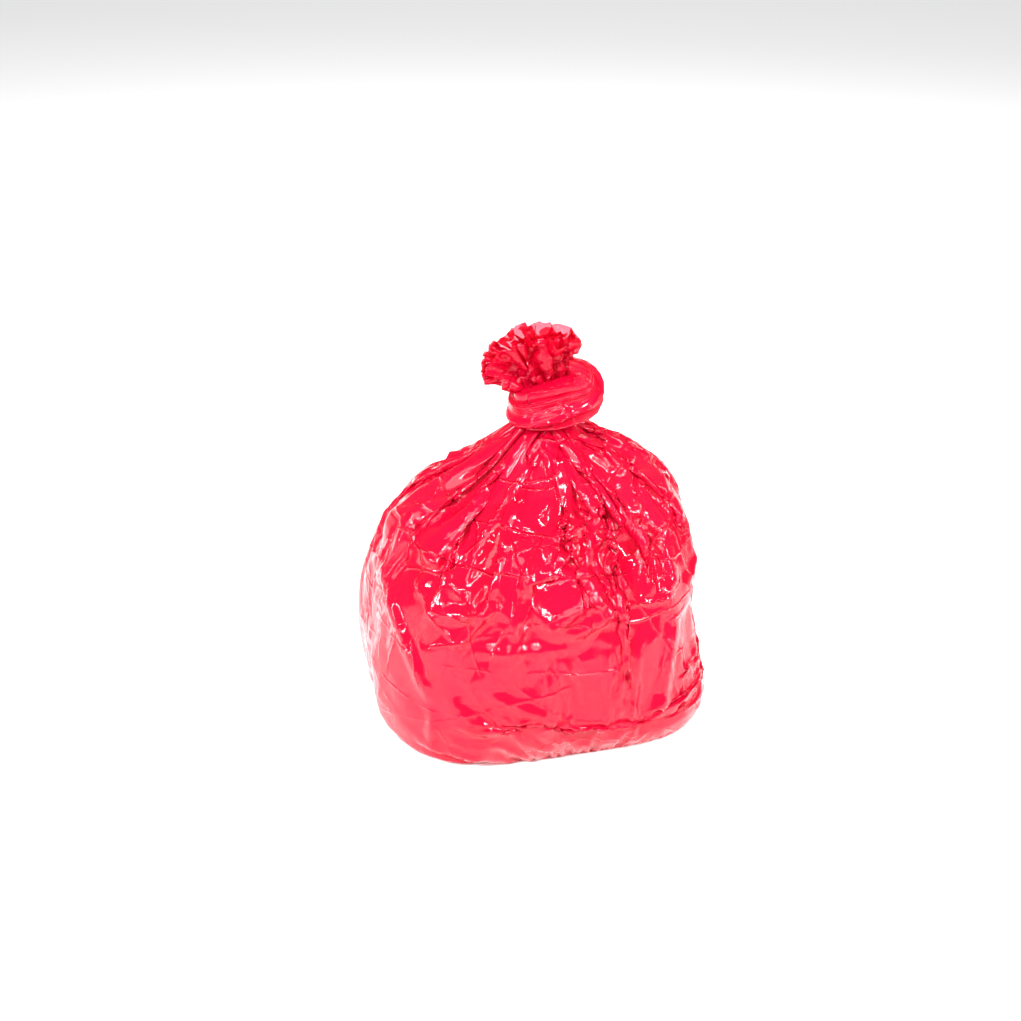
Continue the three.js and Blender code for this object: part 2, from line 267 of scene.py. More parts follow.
def facets(rows, columns, width, height, cell, stretch, rng):
    """Heights, about -1 to 1, of flat triangles between scattered points, with sharp folds between them.

    The film is width long round the sack and height up it, with a point to every cell of both."""
    around, upward = max(round(width / cell), 3), max(round(height / (cell * stretch)), 1)
    column, row = np.meshgrid(np.arange(-2, around + 2), np.arange(-1, upward + 2))
    shift = rng.uniform(-0.45, 0.45, (2, upward + 3, around))
    level = rng.uniform(-1, 1, (upward + 3, around))
    wrapped = column % around
    u = (column + 0.5 * (row % 2) + shift[0][row + 1, wrapped]) / around * columns
    v = (row + shift[1][row + 1, wrapped]) / upward * (rows - 1)
    points = [Vector(place) for place in zip(u.ravel().tolist(), v.ravel().tolist())]
    levels = level[row + 1, wrapped].ravel()
    corners, _, triangles, sources, _, _ = delaunay_2d_cdt(points, [], [], 0, 1e-6)
    corners = np.array([tuple(corner) for corner in corners])
    levels = np.array([levels[source[0]] for source in sources])
    out = np.zeros((rows, columns), np.float32)
    for triangle in triangles:
        (ax, ay), (bx, by), (cx, cy) = corners[triangle]
        area = (bx - ax) * (cy - ay) - (cx - ax) * (by - ay)
        left, right = max(math.ceil(min(ax, bx, cx)), 0), min(math.floor(max(ax, bx, cx)), columns - 1)
        low, high = max(math.ceil(min(ay, by, cy)), 0), min(math.floor(max(ay, by, cy)), rows - 1)
        if abs(area) < 1e-9 or right < left or high < low:
            continue
        x, y = np.meshgrid(np.arange(left, right + 1), np.arange(low, high + 1))
        b = ((x - ax) * (cy - ay) - (cx - ax) * (y - ay)) / area
        c = ((bx - ax) * (y - ay) - (x - ax) * (by - ay)) / area
        inside = (b >= -1e-6) & (c >= -1e-6) & (b + c <= 1 + 1e-6)
        height_here = levels[triangle[0]] * (1 - b - c) + levels[triangle[1]] * b + levels[triangle[2]] * c
        view = out[low : high + 1, left : right + 1]
        view[inside] = height_here[inside]
    return out


class FilmSolver:
    """A round grid of thin film that keeps its lengths while it is pushed and held."""

    def __init__(self, film, around, upward, held):
        self.film = film.astype(np.float32)
        self.around = np.float32(around)
        self.upward = np.asarray(upward, np.float32)
        self.free = 1 - held.astype(np.float32)

    def draw(self, rows, columns, rest, push, pull):
        """Draws pairs of points, so many rows and columns apart, to their rest distance."""
        x = self.film
        last = x.shape[1] - rows
        far = np.roll(x, -columns, axis=2)[:, rows:] if columns else x[:, rows:]
        gap = far - x[:, :last]
        length = np.sqrt(gap[0] ** 2 + gap[1] ** 2 + gap[2] ** 2) + 1e-9
        strain = 1 - rest / length
        gap *= strain * np.where(strain > 0, pull, push) * 0.5
        far_free = np.roll(self.free, -columns, axis=1)[rows:] if columns else self.free[rows:]
        x[:, :last] += gap * self.free[:last]
        back = gap * far_free
        x[:, rows:] -= np.roll(back, columns, axis=2) if columns else back

    def stiffen(self, share):
        """Eases sharp kinks, as a thin plate's own stiffness does."""

        def laplacian(a):
            out = np.roll(a, 1, 2) + np.roll(a, -1, 2) - 4 * a
            out[:, 1:] += a[:, :-1]
            out[:, :-1] += a[:, 1:]
            out[:, 0] = 0
            out[:, -1] = 0
            return out

        eased = laplacian(laplacian(self.film))
        eased[:, :2] = 0
        eased[:, -2:] = 0
        self.film -= share / 32 * eased * self.free

    def normals(self):
        x = self.film
        round_way = np.roll(x, -1, 2) - np.roll(x, 1, 2)
        up_way = np.gradient(x, axis=1)
        n = np.cross(round_way, up_way, axis=0)
        return n / (np.sqrt((n * n).sum(0)) + 1e-12)

    def settle(self, steps, push, stiffness, pressure, weight, contain=None, rounds=10):
        """Lets the film move under its load, keeping its lengths at every step."""
        slant = np.sqrt(self.around**2 + self.upward**2)
        before = self.film.copy()
        for _ in range(steps):
            speed = (self.film - before) * 0.9
            before = self.film.copy()
            self.film += (speed + self.normals() * np.float32(pressure)) * self.free
            self.film[2] -= np.float32(weight) * self.free
            for _ in range(rounds):
                self.draw(0, 1, self.around, push, 0.8)
                self.draw(1, 0, self.upward, push, 0.8)
                self.draw(1, 1, slant, push * 0.5, 0.4)
                self.draw(1, -1, slant, push * 0.5, 0.4)
                self.stiffen(stiffness)
            if contain is not None:
                contain(self.film, self.free)


def direction_table(rows=240, columns=721):
    """Polar angles and azimuths of a sphere's directions about the body's middle."""
    polar = np.linspace(0, np.pi, rows)[:, None] * np.ones((1, columns))
    azimuth = np.linspace(-np.pi, np.pi, columns)[None, :] * np.ones((rows, 1))
    return polar, azimuth


def guide_distances(pleats):
    """How far the guide stands from the body's middle in each direction, with and without its pleats."""
    polar, azimuth = direction_table()
    ray = np.stack([np.sin(polar) * np.cos(azimuth), np.sin(polar) * np.sin(azimuth), np.cos(polar)])
    cos, sin = math.cos(BODY_TURN), math.sin(BODY_TURN)
    found = []
    for pleated in (False, True):
        near, far = np.zeros(polar.shape), np.full(polar.shape, 0.6)
        for _ in range(24):
            half = (near + far) / 2
            x, y, z = MIDDLE[:, None, None] + ray * half
            x, y = x * cos + y * sin, y * cos - x * sin
            _, middle = section_reach(np.zeros_like(z), z)
            angle = np.arctan2(y, x - middle)
            reach, _ = section_reach(angle, z)
            if pleated:
                reach = reach - pleats.valley(angle, reach, z)
            within = (np.hypot(x - middle, y) < reach) & (z > 0) & (z < NECK_HEIGHT)
            near, far = np.where(within, half, near), np.where(within, far, half)
        found.append(near)
    return found


class Contents:
    """Keeps the film between what fills the sack and the farthest that it can stand out."""

    def __init__(self, pleats, rng):
        polar, _ = direction_table()
        guide, pleated = guide_distances(pleats)
        height = MIDDLE[2] + guide * np.cos(polar)
        rows, columns = guide.shape
        lumps = ripples(rows, columns - 1, (9, 14), rng)
        lumps = np.hstack([lumps, lumps[:, :1]]) * 0.009
        lumps *= np.clip((height - 0.12) / 0.1, 0, 1) * np.clip((0.34 - height) / 0.08, 0, 1)
        upper = np.clip((height - 0.15) / 0.12, 0, 1)
        self.inner = pleated + lumps - (0.003 + 0.007 * upper)
        self.inner[height < 0.01] = 0
        self.outer = (guide + pleated) / 2 + lumps + 0.004

    def looked_up(self, table, polar, azimuth):
        rows, columns = table.shape
        row = np.clip(polar / np.pi * (rows - 1), 0, rows - 1.001)
        column = np.clip((azimuth + np.pi) / (2 * np.pi) * (columns - 1), 0, columns - 1.001)
        r, c = row.astype(np.int32), column.astype(np.int32)
        dr, dc = row - r, column - c
        low = table[r, c] * (1 - dc) + table[r, c + 1] * dc
        high = table[r + 1, c] * (1 - dc) + table[r + 1, c + 1] * dc
        return low * (1 - dr) + high * dr

    def __call__(self, film, free):
        ray = film - MIDDLE.astype(np.float32)[:, None, None]
        far = np.sqrt((ray * ray).sum(0)) + 1e-9
        polar = np.arccos(np.clip(ray[2] / far, -1, 1))
        azimuth = np.arctan2(ray[1], ray[0])
        low = self.looked_up(self.inner, polar, azimuth)
        high = self.looked_up(self.outer, polar, azimuth)
        film += ray * ((np.clip(far, low, high) / far - 1) * free)
        np.maximum(film[2], FLOOR_GAP, out=film[2])


class Pleats:
    """Uneven folds of the gathered film, the same from the body through the knot to the mouth."""

    def __init__(self, rng):
        widths, self.depths = np.array(PLEATS).T
        self.count = len(widths)
        self.widths = widths / widths.sum()
        self.edges = np.concatenate([[0], np.cumsum(self.widths)])
        self.crowns = rng.uniform(0.88, 1.05, self.count)
        self.leans = rng.uniform(-0.07, 0.07, self.count)
        self.turn = np.linspace(0, 2 * np.pi, 4001)
        reach, middle = section_reach(self.turn, np.full_like(self.turn, PLEATED_GIRTH))
        x, y = middle + reach * np.cos(self.turn), reach * np.sin(self.turn)
        arc = np.concatenate([[0], np.cumsum(np.hypot(np.diff(x), np.diff(y)))])
        self.arc = arc / arc[-1]

    def valley(self, angle, reach, height):
        """How deep the film lies pressed in under the outline, between two pleats' crowns."""
        share = np.interp(angle % (2 * np.pi), self.turn, self.arc)
        pleat = np.clip(np.searchsorted(self.edges, share) - 1, 0, self.count - 1)
        crown = 1 - np.abs(2 * (share - self.edges[pleat]) / self.widths[pleat] - 1)
        gather = np.clip((height / NECK_HEIGHT - PLEATS_FROM) / (PLEATS_FULL - PLEATS_FROM), 0, 1)
        depth = np.minimum(PLEAT_DEPTH * gather * gather * (3 - 2 * gather), NECK_HUG * reach)
        return depth * self.depths[pleat] * (1 - crown)

    def around(self, columns):
        return (np.arange(columns) + 0.5) / columns

    def angles(self, columns):
        """The direction in which each column of film goes up the belly."""
        return np.interp(self.around(columns), self.arc, self.turn)

    def fold(self, columns):
        """Which pleat each column is in, how far through it, and how near its crown."""
        u = self.around(columns)
        pleat = np.clip(np.searchsorted(self.edges, u) - 1, 0, self.count - 1)
        phase = (u - self.edges[pleat]) / self.widths[pleat]
        return pleat, phase, 1 - np.abs(2 * phase - 1)

    def section(self, columns, radius, depth=PLEAT_FOLD, uneven=1.0):
        """Radius and angle of each column round the gathered neck."""
        pleat, phase, crown = self.fold(columns)
        reach = radius * self.crowns[pleat] ** uneven * (1 - depth * self.depths[pleat] * (1 - crown))
        angle = 2 * np.pi * self.around(columns) + self.angles(columns)[0] + BODY_TURN
        return reach, angle + self.leans[pleat] * np.sin(np.pi * phase)


def body_start(pleats, rows, columns, film_round):
    """The body's film before it settles: on the guide, and pleated where the guide is narrower."""
    height = np.linspace(0.0, NECK_HEIGHT, 500)
    angle, z = np.meshgrid(pleats.angles(columns), height)
    reach, middle = section_reach(angle, z)
    x, y = turn_with_body(middle + reach * np.cos(angle), reach * np.sin(angle))
    guide = np.stack([x, y, z])
    steps = np.sqrt((np.diff(guide, axis=1) ** 2).sum(0))
    arc = np.vstack([np.zeros((1, columns)), np.cumsum(steps, axis=0)])
    film = np.zeros((3, rows, columns))
    for column in range(columns):
        place = np.linspace(0, arc[-1, column], rows)
        for axis in range(3):
            film[axis, :, column] = np.interp(place, arc[:, column], guide[axis, :, column])
    girth = np.hypot(*(np.roll(film[:2], -1, 2) - film[:2])).sum(1)
    excess = np.sqrt(np.maximum(film_round / girth, 1) ** 2 - 1)
    depth = np.minimum(np.pi / pleats.count * excess, 0.7)
    depth *= np.clip((film[2].mean(1) - 0.12) / 0.14, 0, 1)
    pleat, _, crown = pleats.fold(columns)
    inward = 1 - depth[:, None] * (pleats.depths[pleat] * (1 - crown))[None, :]
    centre = film[:2].mean(2)[:, :, None]
    film[:2] = centre + (film[:2] - centre) * inward
    return film.astype(np.float32)


def hold_neck(film, pleats):
    """Sets the body's top rows on the gathered neck."""
    reach, angle = pleats.section(film.shape[2], ROPE_RADIUS)
    x, y, z = neck_place()
    for row, drop in ((-2, 0.006), (-1, 0.0)):
        film[0, row] = x + reach * np.cos(angle)
        film[1, row] = y + reach * np.sin(angle)
        film[2, row] = z - drop


def settled_body(pleats, film_round, slack, rng):
    """The filled body's film, settled at a coarse and then at a fine pitch."""
    contents = Contents(pleats, rng)

    def solver(film):
        _, rows, columns = film.shape
        hold_neck(film, pleats)
        held = np.zeros((rows, columns))
        held[0] = 1
        held[-2:] = 1
        loose = 1.005 + slack * (0.5 + 0.5 * np.cos(pleats.angles(columns) + 0.4))
        upward = BODY_LENGTH / (rows - 1) * loose[None, :]
        return FilmSolver(film, film_round / columns, upward, held)

    film = body_start(pleats, BODY_ROWS // 2, COLUMNS // 2, film_round)
    coarse = solver(film)
    fade = np.clip(np.linspace(-0.3, 1.4, BODY_ROWS // 2), 0, 1)[:, None]
    seeds = ripples(BODY_ROWS // 2, COLUMNS // 2, (14, 50), rng) * fade
    coarse.film += coarse.normals() * seeds * 0.003
    coarse.settle(120, push=0.5, stiffness=0.06, pressure=2e-5, weight=2e-5, contain=contents)
    fine = solver(resampled(coarse.film, BODY_ROWS, COLUMNS))
    across = np.arange(COLUMNS)[None, :] / COLUMNS
    up = np.linspace(0, 1, BODY_ROWS)[:, None]
    share = crumpled_share(across, up)
    for cell, stretch, depth, steps in CRUMPLES:
        folds = facets(BODY_ROWS, COLUMNS, film_round, BODY_LENGTH, cell, stretch, rng)
        fine.film += fine.normals() * fine.free * share * depth * folds
        if steps:
            fine.settle(steps, push=0.9, stiffness=0.002, pressure=0, weight=0, contain=contents)
    return press_creases(fine.film, fine.normals())


def press_creases(film, normals):
    """Raises or sinks the front's own straight creases, each along a line seen from the front."""
    for x0, z0, x1, z1, depth, width in CREASES:
        along, up = x1 - x0, z1 - z0
        share = ((film[0] - x0) * along + (film[2] - z0) * up) / (along**2 + up**2)
        share = np.clip(share, 0, 1)
        away = np.hypot(film[0] - x0 - share * along, film[2] - z0 - share * up)
        tent = np.clip(1 - away / width, 0, 1) * np.clip(6 * share * (1 - share), 0, 1)
        film += normals * np.where(film[1] < 0, tent, 0) * depth
    np.maximum(film[2], FLOOR_GAP, out=film[2])
    return film


def crumpled_share(u, v):
    """How strongly the film is crumpled: most over the right shoulder, least at the neck and the base."""
    right = 0.5 + 0.5 * np.cos(2 * np.pi * (u + 0.04))
    shoulder = np.exp(-(((v - 0.66) / 0.2) ** 2))
    ends = np.clip((0.94 - v) / 0.3, 0, 1) * np.clip(0.35 + v / 0.3, 0, 1)
    return (0.45 + (0.35 + 0.25 * right) * shoulder) * ends


def base_rows(rim, rng):
    """The film under the sack, drawn in to the seal at its middle and lying on the floor."""
    middle = rim[:2].mean(1)
    rows = np.zeros((3, BASE_ROWS, rim.shape[1]), np.float32)
    share = np.linspace(0.012, 1, BASE_ROWS + 1)[:-1]
    folds = ripples(BASE_ROWS, rim.shape[1], (4, 60), rng)
    for row, out in enumerate(share):
        rows[:2, row] = middle[:, None] + (rim[:2] - middle[:, None]) * out
        rows[2, row] = rim[2] + 0.0012 * (0.5 + 0.5 * folds[row]) * np.sin(np.pi * out)
    return rows


def smooth_path(points, count):
    """Evenly spaced points on a smooth curve through some points."""
    grid = np.array(points, float).T[:, :, None]
    dense = resampled(grid, 40 * len(points), 1)[:, :, 0].T
    arc = np.concatenate([[0], np.cumsum(np.linalg.norm(np.diff(dense, axis=0), axis=1))])
    even = np.linspace(0, arc[-1], count)
    return np.stack([np.interp(even, arc, dense[:, k]) for k in range(3)], 1)


def carried_axes(path, across):
    """Two axes square to the path at each point, carried along it without turning round it."""
    tangents = np.gradient(path, axis=0)
    tangents /= np.linalg.norm(tangents, axis=1)[:, None]
    first = [np.array(across, float)]
    for tangent in tangents:
        axis = first[-1] - tangent * np.dot(first[-1], tangent)
        first.append(axis / np.linalg.norm(axis))
    first = np.array(first[1:])
    return first, np.cross(tangents, first)


def rope_rows(pleats, rng):
    """The gathered film from the neck through the knot."""
    scale = np.array([KNOT_REACH, KNOT_DEPTH, KNOT_RISE])
    path = smooth_path(neck_place() + np.array(KNOT_ROUTE) * scale, ROPE_ROWS + 1)
    first, second = carried_axes(path, (1, 0, 0))
    rows = np.zeros((3, ROPE_ROWS, COLUMNS), np.float32)
    pleat, _, _ = pleats.fold(COLUMNS)
    rise = resampled(rng.standard_normal((1, 8, pleats.count)), ROPE_ROWS, pleats.count)[0][:, pleat]
    broad = facets(ROPE_ROWS, COLUMNS, ROPE_GIRTH, ROPE_LENGTH, 0.042, 1.1, rng)
    fine = facets(ROPE_ROWS, COLUMNS, ROPE_GIRTH, ROPE_LENGTH, 0.017, 1.3, rng)
    for row in range(ROPE_ROWS):
        share = (row + 1) / ROPE_ROWS
        inside = math.sin(math.pi * share)
        gathered = 1 - inside**0.3
        radius = ROPE_RADIUS * (1 + ROPE_SWELL * inside)
        reach, angle = pleats.section(COLUMNS, radius, PLEAT_FOLD * gathered, gathered)
        folds = 0.01 * rise[row] + BROAD_FOLD * broad[row] + FINE_FOLD * fine[row]
        reach = reach * (1 + inside**0.4 * folds)
        angle = angle + ROPE_TWIST * share
        flat = 1 + ROPE_FLATNESS * inside * np.cos(2 * (angle - 2.5 * share))
        offset = first[row + 1][:, None] * np.cos(angle) + second[row + 1][:, None] * np.sin(angle)
        rows[:, row] = path[row + 1][:, None] + offset * reach * flat
    return rows, path[-1]


def mouth_rows(root, centre, film_round, rng):
    """The open mouth above the knot, fanned upwards and into a longer ear to the left."""
    u = (np.arange(COLUMNS) + 0.5) / COLUMNS
    spread = np.arctan2(root[1] - centre[1], root[0] - centre[0])
    front = np.cos(spread)
    swing = np.radians(-32 + 66 * front)
    lobes = LOBE_LENGTH + EAR_LENGTH * np.exp(-(((np.degrees(swing) - EAR_SWING) / EAR_SPREAD) ** 2))
    depth = np.sin(spread) * MOUTH_HALF_DEPTH
    lip = np.stack([np.sin(swing) * lobes, depth, np.cos(swing) * lobes * 0.95])
    lip += centre[:, None]
    lip[1] += 0.004 * np.sin(2 * np.pi * 9 * u)
    rows = np.zeros((3, MOUTH_ROWS, COLUMNS), np.float32)
    for row in range(MOUTH_ROWS):
        share = (row + 1) / MOUTH_ROWS
        rows[:, row] = root + (lip - root) * share**1.15
    film = np.concatenate([root[:, None].astype(np.float32), rows], 1)
    held = np.zeros(film.shape[1:])
    held[:2] = 1
    solver = FilmSolver(film, film_round / COLUMNS, np.float32(MOUTH_LENGTH / MOUTH_ROWS), held)
    solver.film += solver.normals() * ripples(MOUTH_ROWS + 1, COLUMNS, (6, 60), rng) * 0.002
    solver.settle(30, push=0.25, stiffness=0.08, pressure=0.0, weight=1e-5)
    held_in = np.clip(np.linspace(-0.2, 2.0, MOUTH_ROWS + 1), 0, 1)[:, None]
    folds = facets(MOUTH_ROWS + 1, COLUMNS, film_round, 0.1, 0.06, 0.5, rng) * held_in
    solver.film += solver.normals() * folds * MOUTH_FOLD_DEPTH
    return solver.film[:, 1:]


def film_mesh(grid):
    """The film's grid as one mesh, closed by its seal under the sack and open at its mouth.

    Its map is in metres: round the sack from its front, and up from the seal."""
    _, rows, columns = grid.shape
    points = grid.reshape(3, -1).T.astype(float).tolist()
    seal = len(points)
    points.append(grid[:, 0].mean(1).astype(float).tolist())
    row = np.arange(rows - 1)[:, None] * columns
    here = np.arange(columns)[None, :]
    beside = (here + 1) % columns
    quads = np.stack([row + here, row + beside, row + columns + beside, row + columns + here], -1)
    faces = quads.reshape(-1, 4).tolist()
    faces += [(seal, int((k + 1) % columns), k) for k in range(columns)]
    mesh = bpy.data.meshes.new("film")
    mesh.from_pydata(points, [], faces)
    rise = np.sqrt((np.diff(grid, axis=1) ** 2).sum(0)).mean(1)
    up = np.concatenate([[0], np.cumsum(rise)])[:, None]
    girth = np.sqrt(((np.roll(grid, -1, 2) - grid) ** 2).sum(0)).sum(1)[:, None]
    flat = np.stack(np.broadcast_arrays(girth * (np.arange(columns + 1) / columns - FRONT_SHARE), up), -1)
    mapped = np.stack([flat[:-1, :-1], flat[:-1, 1:], flat[1:, 1:], flat[1:, :-1]], 2).reshape(-1, 2)
    under = np.stack([(flat[0, :-1] + flat[0, 1:]) / 2, flat[0, 1:], flat[0, :-1]], 1).reshape(-1, 2)
    layer = mesh.uv_layers.new(name="flat_film")
    layer.data.foreach_set("uv", np.concatenate([mapped, under]).astype(np.float32).ravel())
    mesh.update()
    return mesh


class Wire:
    """A shader socket that takes part in Python sums."""

    def __init__(self, tree, socket):
        self.tree = tree
        self.socket = socket

    def maths(self, operation, *values):
        return self.tree.node("ShaderNodeMath", {"operation": operation}, values)

    def __add__(self, other):
        return self.maths("ADD", self, other)

    def __mul__(self, other):
        return self.maths("MULTIPLY", self, other)

    __radd__ = __add__
    __rmul__ = __mul__


class Finish:
    """A material's node tree."""

    def __init__(self, name):
        self.material = bpy.data.materials.new(name)
        self.material.use_nodes = True
        self.tree = self.material.node_tree
        self.tree.nodes.clear()

    def node(self, kind, settings=None, values=None, output=0):
        """Makes a node: its settings first, then the values or links of its sockets."""
        node = self.tree.nodes.new(kind)
        for key, value in (settings or {}).items():
            setattr(node, key, value)
        pairs = values.items() if isinstance(values, dict) else enumerate(values or ())
        for key, value in pairs:
            self.feed(node.inputs[key], value)
        return Wire(self, node.outputs[output]) if node.outputs else None

    def feed(self, socket, value):
        if isinstance(value, Wire):
            self.tree.links.new(value.socket, socket)
        else:
            socket.default_value = value

    def vector(self, operation, *values, output=0):
        """A sum of vectors."""
        return self.node("ShaderNodeVectorMath", {"operation": operation}, values, output)

    def ramp(self, value, low, high, at_low, at_high):
        """A value that runs evenly between two ends, and stays at them beyond."""
        ends = {"Value": value, "From Min": low, "From Max": high, "To Min": at_low, "To Max": at_high}
        return self.node("ShaderNodeMapRange", None, ends)

    def mixed(self, share, low, high):
        """Two colours mixed by a share."""
        node = self.tree.nodes.new("ShaderNodeMix")
        node.data_type = "RGBA"
        self.feed(node.inputs["Factor"], share)
        self.feed(node.inputs["A"], low)
        self.feed(node.inputs["B"], high)
        return Wire(self, node.outputs["Result"])

    def shown(self, shader):
        self.node("ShaderNodeOutputMaterial", None, {"Surface": shader})
        return self.material


def film_finish(look):
    """Glossy, slightly see-through film with fine crinkles."""
    finish = Finish("red_film")
    place = finish.node("ShaderNodeTexCoord", output=3)
    broad = finish.node("ShaderNodeTexNoise", None, {"Vector": place, "Scale": 26.0, "Detail": 3.0})
    flat = finish.node("ShaderNodeTexCoord", output=2)
    sway = finish.node("ShaderNodeTexNoise", None, {"Vector": place, "Scale": 9.0}, output=1)
    swayed = finish.vector("MULTIPLY_ADD", sway, (0.03, 0.03, 0.0), flat)
    height = finish.node("ShaderNodeSeparateXYZ", None, {0: place}, output=2)
    upper = finish.ramp(height, 0.08, 0.24, 0.35, 1.0)
    cell = {"Vector": finish.vector("MULTIPLY", swayed, (1.0, 0.7, 0.0)), "Scale": 36.0}
    flat_cell = {"voronoi_dimensions": "2D"}
    tint = finish.node("ShaderNodeTexVoronoi", flat_cell, cell, 1)
    tilt = finish.vector("SUBTRACT", tint, (0.5, 0.5, 0.5))
    middle = finish.node("ShaderNodeTexVoronoi", flat_cell, cell, 2)
    out = finish.vector("SUBTRACT", cell["Vector"], middle)
    crinkle = finish.vector("DOT_PRODUCT", tilt, out, output=1) * 0.36
    for turn, scale, seed in CRINKLE_LINES:
        turned = finish.node("ShaderNodeMapping", None, {"Vector": flat, "Rotation": (0.0, 0.0, turn)})
        wave = finish.node(
            "ShaderNodeTexWave",
            {"wave_profile": "TRI"},
            {
                "Vector": turned,
                "Scale": scale,
                "Distortion": 1.1,
                "Detail": 1.0,
                "Detail Scale": 2.0,
                "Phase Offset": seed,
            },
        )
        spots = {"Vector": flat, "Scale": 11.0, "W": seed}
        spot = finish.node("ShaderNodeTexNoise", {"noise_dimensions": "4D"}, spots)
        ridge = finish.ramp(wave, 0.91, 1.0, 0.0, 1.0)
        crinkle = crinkle + ridge * ridge * finish.ramp(spot, 0.46, 0.54, 0.0, 0.0021)
    crinkle = crinkle * upper
    relief = {"Height": crinkle, "Strength": look.crinkle, "Distance": 1.0}
    bump = finish.node("ShaderNodeBump", None, relief)
    red = tuple(look.colour)
    deep = (red[0] * 0.8, red[1] * 0.5, red[2] * 0.6, 1.0)
    colour = finish.mixed(broad, deep, (*red, 1.0))
    gloss = finish.node(
        "ShaderNodeBsdfPrincipled",
        None,
        {
            "Base Color": colour,
            "Roughness": broad * 0.06 + look.roughness,
            "Normal": bump,
            "IOR": 1.32,
            # A painted glow: a steady red emission that stands for light scattered inside the film
            "Emission Color": FILM_GLOW,
            "Emission Strength": FILM_GLOW_STRENGTH,
        },
    )
    clear = finish.node("ShaderNodeBsdfTransparent", None, {"Color": (1.0, 0.22, 0.28, 1.0)})
    cover = finish.ramp(height, MOUTH_FROM, MOUTH_FULL, look.opacity, look.mouth_opacity)
    shader = finish.node("ShaderNodeMixShader", None, {0: cover, 1: clear, 2: gloss})
    return finish.shown(shader)


def board_finish(look):
    """Brown corrugated board."""
    finish = Finish("brown_board")
    place = finish.node("ShaderNodeTexCoord", output=3)
    flutes = finish.node(
        "ShaderNodeTexWave", {"bands_direction": "X"}, {"Vector": place, "Scale": 45.0, "Distortion": 0.6}
    )
    fibre = finish.node("ShaderNodeTexNoise", None, {"Vector": place, "Scale": 220.0, "Detail": 4.0})
    brown = tuple(look.colour)
    dark = (brown[0] * 0.72, brown[1] * 0.72, brown[2] * 0.7, 1.0)
    colour = finish.mixed(fibre * 0.7 + flutes * 0.15, dark, (*brown, 1.0))
    bump = finish.node("ShaderNodeBump", None, {"Height": flutes, "Strength": 0.15, "Distance": 0.001})
    board = finish.node(
        "ShaderNodeBsdfPrincipled", None, {"Base Color": colour, "Roughness": 0.85, "Normal": bump}
    )
    return finish.shown(board)


def floor_finish(look):
    finish = Finish("pale_floor")
    place = finish.node("ShaderNodeTexCoord", output=3)
    cloud = finish.node("ShaderNodeTexNoise", None, {"Vector": place, "Scale": 3.0})
    pale = tuple(look.floor_colour)
    colour = finish.mixed(cloud * 0.1, (*pale, 1.0), (pale[0] * 0.96, pale[1] * 0.96, pale[2] * 0.97, 1.0))
    floor = finish.node("ShaderNodeBsdfPrincipled", None, {"Base Color": colour, "Roughness": 0.6})
    return finish.shown(floor)


class FilmLook(bpy.types.PropertyGroup):
    colour: bpy.props.FloatVectorProperty(
        name="Film colour", description="The film's own red", subtype="COLOR", size=3,
        default=(0.33, 0.001, 0.018), min=0, max=1,
    )
    opacity: bpy.props.FloatProperty(
        name="Opacity", description="How much of what is behind one layer it hides", subtype="FACTOR",
        default=0.8, min=0.2, max=1,
    )
    mouth_opacity: bpy.props.FloatProperty(
        name="Mouth opacity", description="The same for the thin mouth above the knot", subtype="FACTOR",
        default=0.52, min=0.2, max=1,
    )
    roughness: bpy.props.FloatProperty(
        name="Roughness", description="The smoothest stretches' roughness", default=0.05, min=0.02, max=1,
    )
    crinkle: bpy.props.FloatProperty(
        name="Crinkle", description="How deep the film's finest crinkles look", default=1.0, min=0, max=2,
    )
    film_round: bpy.props.FloatProperty(
        name="Round", description="The film's length round the sack", subtype="DISTANCE", default=1.40,
        min=1.2, max=1.6,
    )
    film_length: bpy.props.FloatProperty(
        name="Length", description="The flat sack's length from seal to mouth", subtype="DISTANCE",
        default=1.00, min=0.8, max=1.3,
    )
    slack: bpy.props.FloatProperty(
        name="Slack", description="Extra film length up the right side", subtype="FACTOR",
        default=0.035, min=0, max=0.1,
    )


class BoardLook(bpy.types.PropertyGroup):
    colour: bpy.props.FloatVectorProperty(
        name="Board colour", description="The carton's brown", subtype="COLOR", size=3,
        default=(0.55, 0.33, 0.15), min=0, max=1,
    )


class StudioLook(bpy.types.PropertyGroup):
    floor_colour: bpy.props.FloatVectorProperty(
        name="Floor colour", description="The pale floor", subtype="COLOR", size=3,
        default=(0.84, 0.84, 0.84), min=0, max=1,
    )
    elevation: bpy.props.FloatProperty(
        name="Camera elevation", description="How far the camera looks down on the sack",
        subtype="ANGLE", default=math.radians(28), min=0, max=math.radians(80),
    )
    lens: bpy.props.FloatProperty(
        name="Lens", description="The camera's focal length in millimetres", default=62, min=20, max=200,
    )
    distance: bpy.props.FloatProperty(
        name="Camera distance", description="From the camera to the sack's middle", subtype="DISTANCE",
        default=2.2, min=1, max=6,
    )


class SACK_OT_film(bpy.types.Operator):
    """Settle, knot and finish the sack's film"""

    bl_idname = "sack.film"
    bl_label = "Film"

    def execute(self, context):
        look = context.scene.sack_film
        rng = np.random.default_rng(11)
        pleats = Pleats(rng)
        body = settled_body(pleats, look.film_round, look.slack, rng)
        rope, knot_end = rope_rows(pleats, rng)
        mouth = mouth_rows(rope[:, -1], knot_end, look.film_round, rng)
        grid = np.concatenate([base_rows(body[:, 0], rng), body, rope, mouth], 1)
        film = bpy.data.objects.new("film", film_mesh(grid))
        context.scene.collection.objects.link(film)
        film.data.shade_smooth()
        film.data.materials.append(film_finish(look))
        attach(film, "root")
        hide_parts("film_sack")
        return {"FINISHED"}


